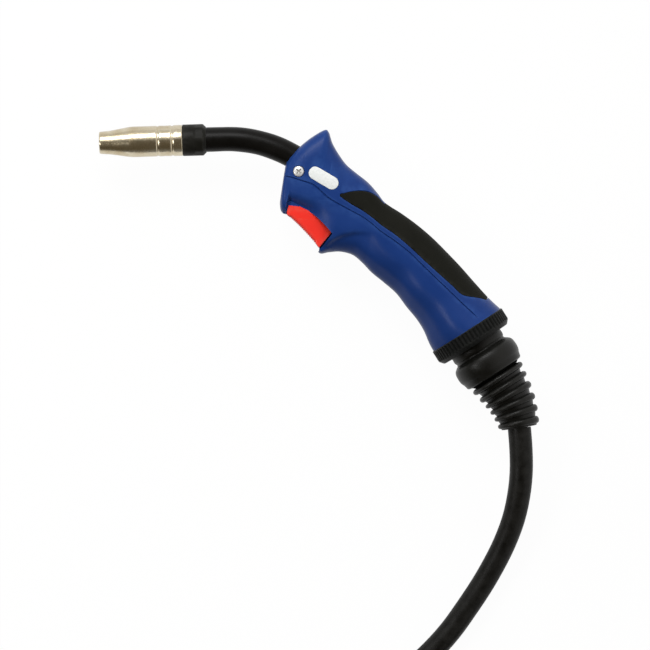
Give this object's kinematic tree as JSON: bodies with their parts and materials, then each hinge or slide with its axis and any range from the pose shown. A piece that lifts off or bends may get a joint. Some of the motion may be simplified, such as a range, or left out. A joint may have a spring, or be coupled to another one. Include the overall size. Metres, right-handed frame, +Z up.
{
  "type": "mig welding torch",
  "caption": "Hand-held wire-feed welding torch with a bent neck, trigger handle, ribbed cable boot and a coiled cable ending in a machine connector.",
  "frame": {"origin": "bottom centre of the torch itself, without the cable and what is on it, as it lies on its side on a bench", "axes": "+X from the nozzle's mouth rearwards along the nozzle, +Y towards the top of the handle in the torch's plane of symmetry, +Z up from the bench, square to that plane"},
  "size_m": [0.2908, 0.5617, 0.049],
  "materials": {
    "nickel": "satin",
    "copper": "satin",
    "brass": "satin",
    "steel": "satin",
    "spring_steel": "satin",
    "insulator_black": "satin",
    "neck_black": "satin",
    "liner_white": "satin",
    "handle_blue": "satin",
    "pad_black": "matte",
    "label_white": "satin",
    "trigger_red": "satin",
    "switch_grey": "matte",
    "wire_yellow": "satin",
    "ring_black": "satin",
    "boot_black": "matte",
    "cable_black": "matte",
    "tie_black": "matte",
    "plug_black": "satin",
    "face_grey": "satin",
    "seal_black": "satin",
    "contact_gold": "polished"
  },
  "bodies": {
    "torch": {"contact_tip": "copper", "tip_adaptor": "brass", "nozzle_spring": "spring_steel", "neck_insulator": "insulator_black", "neck_core": "brass", "neck_sleeve": "neck_black", "wire_liner": "liner_white", "neck_block": "brass", "cable_lug": "copper", "cable_inner": "cable_black", "handle_left": "handle_blue", "handle_right": "handle_blue", "grip_pad_left": "pad_black", "grip_pad_right": "pad_black", "name_plate": "label_white", "handle_screw": "steel", "handle_nut": "steel", "trigger_pin": "steel", "trigger_spring": "spring_steel", "switch_body": "switch_grey", "control_wires": "wire_yellow", "locking_ring": "ring_black", "cable_boot": "boot_black", "cable": "cable_black", "cable_coil": "cable_black", "cable_tail": "cable_black", "coil_ties": "tie_black", "connector_boot": "boot_black", "connector_housing": "plug_black", "housing_screws": "steel", "connector_body": "brass", "connector_face": "face_grey", "liner_nut": "brass", "o_ring": "seal_black"},
    "trigger": {"trigger": "trigger_red"},
    "plunger": {"switch_plunger": "liner_white"},
    "nozzle": {"gas_nozzle": "nickel"},
    "nut": {"union_nut": "plug_black"},
    "pin_a": {"control_pin_a": "contact_gold"},
    "pin_b": {"control_pin_b": "contact_gold"}
  },
  "joints": [
    {"name": "trigger_hinge", "type": "hinge", "parent": "torch", "child": "trigger", "pos_m": [-0.01409, 0.04661, 0.0245], "axis": [0, 0, 1], "range_deg": [0, 5], "stiffness_Nm_per_rad": 1.5, "springref_deg": -2.86, "deforming": ["trigger_spring"]},
    {"name": "switch_travel", "type": "slide", "parent": "torch", "child": "plunger", "axis": [0, 1, 0], "range_m": [0, 0.0012]},
    {"name": "nozzle_pull", "type": "slide", "parent": "torch", "child": "nozzle", "axis": [-1, 0, 0], "range_m": [0, 0.055]},
    {"name": "nut_spin", "type": "hinge", "parent": "torch", "child": "nut", "pos_m": [0.13771, -0.27379, 0.024], "axis": [0, 1, 0], "continuous": true},
    {"name": "pin_a_press", "type": "slide", "parent": "torch", "child": "pin_a", "axis": [0, -1, 0], "range_m": [0, 0.003], "stiffness_N_per_m": 500, "springref_m": -0.001},
    {"name": "pin_b_press", "type": "slide", "parent": "torch", "child": "pin_b", "axis": [0, -1, 0], "range_m": [0, 0.003], "stiffness_N_per_m": 500, "springref_m": -0.001}
  ],
  "couplings": [
    {"joint": "switch_travel", "follows": "trigger_hinge", "m_per_rad": 0.0123}
  ]
}
